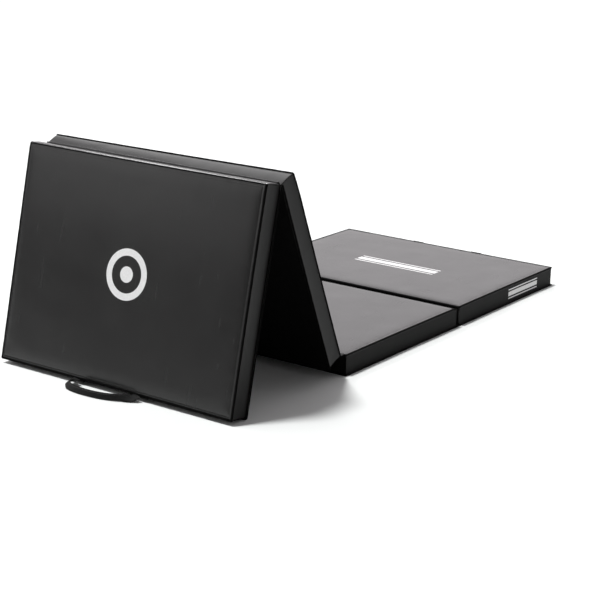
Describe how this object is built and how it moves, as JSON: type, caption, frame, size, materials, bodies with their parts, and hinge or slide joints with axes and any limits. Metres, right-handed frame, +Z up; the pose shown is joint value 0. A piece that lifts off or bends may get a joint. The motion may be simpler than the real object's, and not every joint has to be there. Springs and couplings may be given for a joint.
{
  "type": "folding gym mat",
  "caption": "Folding gym mat of padded panels in sewn vinyl covers, with webbing carry handles, zips and hook-and-loop ends, standing part folded.",
  "frame": {"origin": "bottom centre of the whole mat's box in the resting pose", "axes": "+X along the mat from the leaning pair of panels to the flat pair; +Y across the mat along the fold lines, to the side with the zips; +Z up"},
  "size_m": [1.3434, 0.6071, 0.4558],
  "materials": {
    "cover": "satin black coated fabric with a fine grain",
    "base_cover": "matt black coated fabric with a raised non-slip grain",
    "seam": "folded and stitched black seam",
    "foam": "expanded polyethylene foam board",
    "webbing": "black woven polypropylene webbing",
    "zip_tape": "black twill zip tape",
    "zip_teeth": "black nylon coil",
    "zip_metal": "black enamelled zinc with worn edges",
    "hook_and_loop": "black hook-and-loop tape"
  },
  "bodies": {
    "panel_3": {"foam_core_3": "foam", "top_cover_3": "cover", "side_band_3": "cover", "base_cover_3": "base_cover", "top_seam_3": "seam", "base_seam_3": "seam", "zip_tape_3": "zip_tape", "zip_teeth_3": "zip_teeth", "hinge_strip_23": "cover", "hinge_strip_34": "cover"},
    "panel_2": {"foam_core_2": "foam", "top_cover_2": "cover", "side_band_2": "cover", "base_cover_2": "base_cover", "top_seam_2": "seam", "base_seam_2": "seam", "zip_tape_2": "zip_tape", "zip_teeth_2": "zip_teeth", "hinge_strip_12": "cover"},
    "panel_1": {"foam_core_1": "foam", "top_cover_1": "cover", "side_band_1": "cover", "base_cover_1": "base_cover", "top_seam_1": "seam", "base_seam_1": "seam", "zip_tape_1": "zip_tape", "zip_teeth_1": "zip_teeth", "handle_patch_1": "webbing", "loop_strip": "hook_and_loop"},
    "panel_4": {"foam_core_4": "foam", "top_cover_4": "cover", "side_band_4": "cover", "base_cover_4": "base_cover", "top_seam_4": "seam", "base_seam_4": "seam", "zip_tape_4": "zip_tape", "zip_teeth_4": "zip_teeth", "handle_patch_4": "webbing", "hook_strip": "hook_and_loop"},
    "handle_1": {"handle_strap_1": "webbing"},
    "handle_4": {"handle_strap_4": "webbing"},
    "slider_1": {"zip_slider_1": "zip_metal"},
    "pull_1": {"zip_pull_1": "zip_metal"},
    "slider_2": {"zip_slider_2": "zip_metal"},
    "pull_2": {"zip_pull_2": "zip_metal"},
    "slider_3": {"zip_slider_3": "zip_metal"},
    "pull_3": {"zip_pull_3": "zip_metal"},
    "slider_4": {"zip_slider_4": "zip_metal"},
    "pull_4": {"zip_pull_4": "zip_metal"}
  },
  "joints": [
    {"name": "fold_23", "type": "hinge", "parent": "panel_3", "child": "panel_2", "pos_m": [-0.27498, 0, 0.0462], "axis": [0, 1, 0], "range_deg": [-66.7, 113.3]},
    {"name": "fold_12", "type": "hinge", "parent": "panel_2", "child": "panel_1", "pos_m": [-0.49433, 0, 0.43821], "axis": [0, -1, 0], "range_deg": [-144.14, 35.86]},
    {"name": "fold_34", "type": "hinge", "parent": "panel_3", "child": "panel_4", "pos_m": [0.19072, 0, -0.0002], "axis": [0, 1, 0], "range_deg": [0, 180]},
    {"name": "handle_1_swing", "type": "hinge", "parent": "panel_1", "child": "handle_1", "pos_m": [-0.63568, 0, 0.01164], "axis": [0, 1, 0], "range_deg": [-122.44, 42.56]},
    {"name": "handle_4_swing", "type": "hinge", "parent": "panel_4", "child": "handle_4", "pos_m": [0.64032, 0, 0.045], "axis": [0, -1, 0], "range_deg": [0, 165]},
    {"name": "zip_1_slide", "type": "slide", "parent": "panel_1", "child": "slider_1", "axis": [0.2175, 0, 0.9761], "range_m": [0, 0.38]},
    {"name": "pull_1_swing", "type": "hinge", "parent": "slider_1", "child": "pull_1", "pos_m": [-0.60603, 0.30215, 0.04356], "axis": [0.9761, 0, -0.2175], "range_deg": [0, 180]},
    {"name": "zip_2_slide", "type": "slide", "parent": "panel_2", "child": "slider_2", "axis": [-0.3955, 0, 0.9184], "range_m": [0, 0.38]},
    {"name": "pull_2_swing", "type": "hinge", "parent": "slider_2", "child": "pull_2", "pos_m": [-0.31104, 0.30215, 0.07128], "axis": [0.9184, 0, 0.3955], "range_deg": [0, 180]},
    {"name": "zip_3_slide", "type": "slide", "parent": "panel_3", "child": "slider_3", "axis": [1, 0, 0], "range_m": [0, 0.38]},
    {"name": "pull_3_swing", "type": "hinge", "parent": "slider_3", "child": "pull_3", "pos_m": [-0.22128, 0.30215, 0.023], "axis": [0, 0, -1], "range_deg": [0, 180]},
    {"name": "zip_4_slide", "type": "slide", "parent": "panel_4", "child": "slider_4", "axis": [-1, 0, 0], "range_m": [0, 0.38]},
    {"name": "pull_4_swing", "type": "hinge", "parent": "slider_4", "child": "pull_4", "pos_m": [0.60272, 0.30215, 0.023], "axis": [0, 0, 1], "range_deg": [0, 180]}
  ]
}
